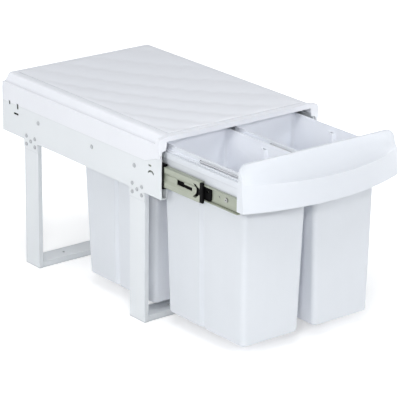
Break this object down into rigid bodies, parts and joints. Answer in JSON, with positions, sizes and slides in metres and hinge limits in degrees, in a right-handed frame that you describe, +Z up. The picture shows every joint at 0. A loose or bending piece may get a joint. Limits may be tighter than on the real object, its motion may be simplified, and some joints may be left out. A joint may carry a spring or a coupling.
{
  "type": "built-in waste bin",
  "caption": "Pull-out waste bin for a floor cabinet: bins with wire bails in a drawer frame on ball-bearing slides, under a covered steel stand with foot bars.",
  "frame": {"origin": "floor level, middle of the whole part's width and depth with the drawer partly open as pictured", "axes": "+X to the right seen from the drawer front, +Y to the back of the cabinet, +Z up"},
  "size_m": [0.358, 0.752, 0.363],
  "materials": {
    "powder_coat": "white satin powder coat",
    "cover_plastic": "white, fine satin",
    "drawer_plastic": "white, semi-gloss",
    "bin_plastic": "white, slightly bluish, satin",
    "zinc_steel": "zinc plated, slightly yellow",
    "cage_steel": "plain stamped steel",
    "ball_steel": "polished",
    "black_plastic": "black",
    "wire_steel": "plain bright wire",
    "screw_steel": "zinc plated",
    "rivet_steel": "plain dull steel"
  },
  "bodies": {
    "frame": {"left_rail": "powder_coat", "right_rail": "powder_coat", "left_front_post": "powder_coat", "right_front_post": "powder_coat", "left_rear_post": "powder_coat", "right_rear_post": "powder_coat", "front_foot_bar": "powder_coat", "rear_foot_bar": "powder_coat", "leg_rivets": "rivet_steel", "cover": "cover_plastic", "cover_screws": "screw_steel", "left_slide_outer": "zinc_steel", "right_slide_outer": "zinc_steel", "slide_rivets": "rivet_steel", "left_slide_guide": "black_plastic", "right_slide_guide": "black_plastic", "left_rear_stop": "black_plastic", "right_rear_stop": "black_plastic"},
    "left_middle": {"left_slide_middle": "zinc_steel", "left_slide_bumper": "black_plastic"},
    "right_middle": {"right_slide_middle": "zinc_steel", "right_slide_bumper": "black_plastic"},
    "left_outer_cage_body": {"left_outer_cage": "cage_steel", "left_outer_balls": "ball_steel"},
    "right_outer_cage_body": {"right_outer_cage": "cage_steel", "right_outer_balls": "ball_steel"},
    "left_inner_cage_body": {"left_inner_cage": "cage_steel", "left_inner_balls": "ball_steel"},
    "right_inner_cage_body": {"right_inner_cage": "cage_steel", "right_inner_balls": "ball_steel"},
    "drawer": {"drawer_frame": "drawer_plastic", "drawer_front": "drawer_plastic", "front_screws": "screw_steel", "slide_screws": "screw_steel", "left_slide_inner": "zinc_steel", "right_slide_inner": "zinc_steel", "left_release_lever": "black_plastic", "right_release_lever": "black_plastic"},
    "front_left_bin_body": {"front_left_bin": "bin_plastic"},
    "front_right_bin_body": {"front_right_bin": "bin_plastic"},
    "rear_bin_body": {"rear_bin": "bin_plastic"},
    "front_left_bail_body": {"front_left_bail": "wire_steel"},
    "front_right_bail_body": {"front_right_bail": "wire_steel"},
    "rear_bail_body": {"rear_bail": "wire_steel"}
  },
  "joints": [
    {"name": "drawer_slide", "type": "slide", "parent": "frame", "child": "drawer", "axis": [0, -1, 0], "range_m": [-0.2015, 0.2385]},
    {"name": "left_middle_slide", "type": "slide", "parent": "frame", "child": "left_middle", "axis": [0, -1, 0], "range_m": [-0.107, 0.1266]},
    {"name": "left_outer_cage_roll", "type": "slide", "parent": "frame", "child": "left_outer_cage_body", "axis": [0, -1, 0], "range_m": [-0.0536, 0.0634]},
    {"name": "left_inner_cage_roll", "type": "slide", "parent": "left_middle", "child": "left_inner_cage_body", "axis": [0, -1, 0], "range_m": [-0.04755, 0.05625]},
    {"name": "right_middle_slide", "type": "slide", "parent": "frame", "child": "right_middle", "axis": [0, -1, 0], "range_m": [-0.107, 0.1266]},
    {"name": "right_outer_cage_roll", "type": "slide", "parent": "frame", "child": "right_outer_cage_body", "axis": [0, -1, 0], "range_m": [-0.0536, 0.0634]},
    {"name": "right_inner_cage_roll", "type": "slide", "parent": "right_middle", "child": "right_inner_cage_body", "axis": [0, -1, 0], "range_m": [-0.04755, 0.05625]},
    {"name": "front_left_bin_lift", "type": "slide", "parent": "drawer", "child": "front_left_bin_body", "axis": [0, 0, 1], "range_m": [0, 0.009]},
    {"name": "front_left_bail_hinge", "type": "hinge", "parent": "front_left_bin_body", "child": "front_left_bail_body", "pos_m": [-0.077, -0.191, 0.3313], "axis": [-1, 0, 0], "range_deg": [0, 110]},
    {"name": "front_right_bin_lift", "type": "slide", "parent": "drawer", "child": "front_right_bin_body", "axis": [0, 0, 1], "range_m": [0, 0.009]},
    {"name": "front_right_bail_hinge", "type": "hinge", "parent": "front_right_bin_body", "child": "front_right_bail_body", "pos_m": [0.077, -0.191, 0.3313], "axis": [-1, 0, 0], "range_deg": [0, 110]},
    {"name": "rear_bin_lift", "type": "slide", "parent": "drawer", "child": "rear_bin_body", "axis": [0, 0, 1], "range_m": [0, 0.009]},
    {"name": "rear_bail_hinge", "type": "hinge", "parent": "rear_bin_body", "child": "rear_bail_body", "pos_m": [0, 0.0535, 0.3313], "axis": [-1, 0, 0], "range_deg": [0, 9]}
  ],
  "couplings": [
    {"joint": "left_middle_slide", "follows": "drawer_slide", "ratio": 0.53},
    {"joint": "left_outer_cage_roll", "follows": "drawer_slide", "ratio": 0.265},
    {"joint": "left_inner_cage_roll", "follows": "drawer_slide", "ratio": 0.235},
    {"joint": "right_middle_slide", "follows": "drawer_slide", "ratio": 0.53},
    {"joint": "right_outer_cage_roll", "follows": "drawer_slide", "ratio": 0.265},
    {"joint": "right_inner_cage_roll", "follows": "drawer_slide", "ratio": 0.235}
  ]
}
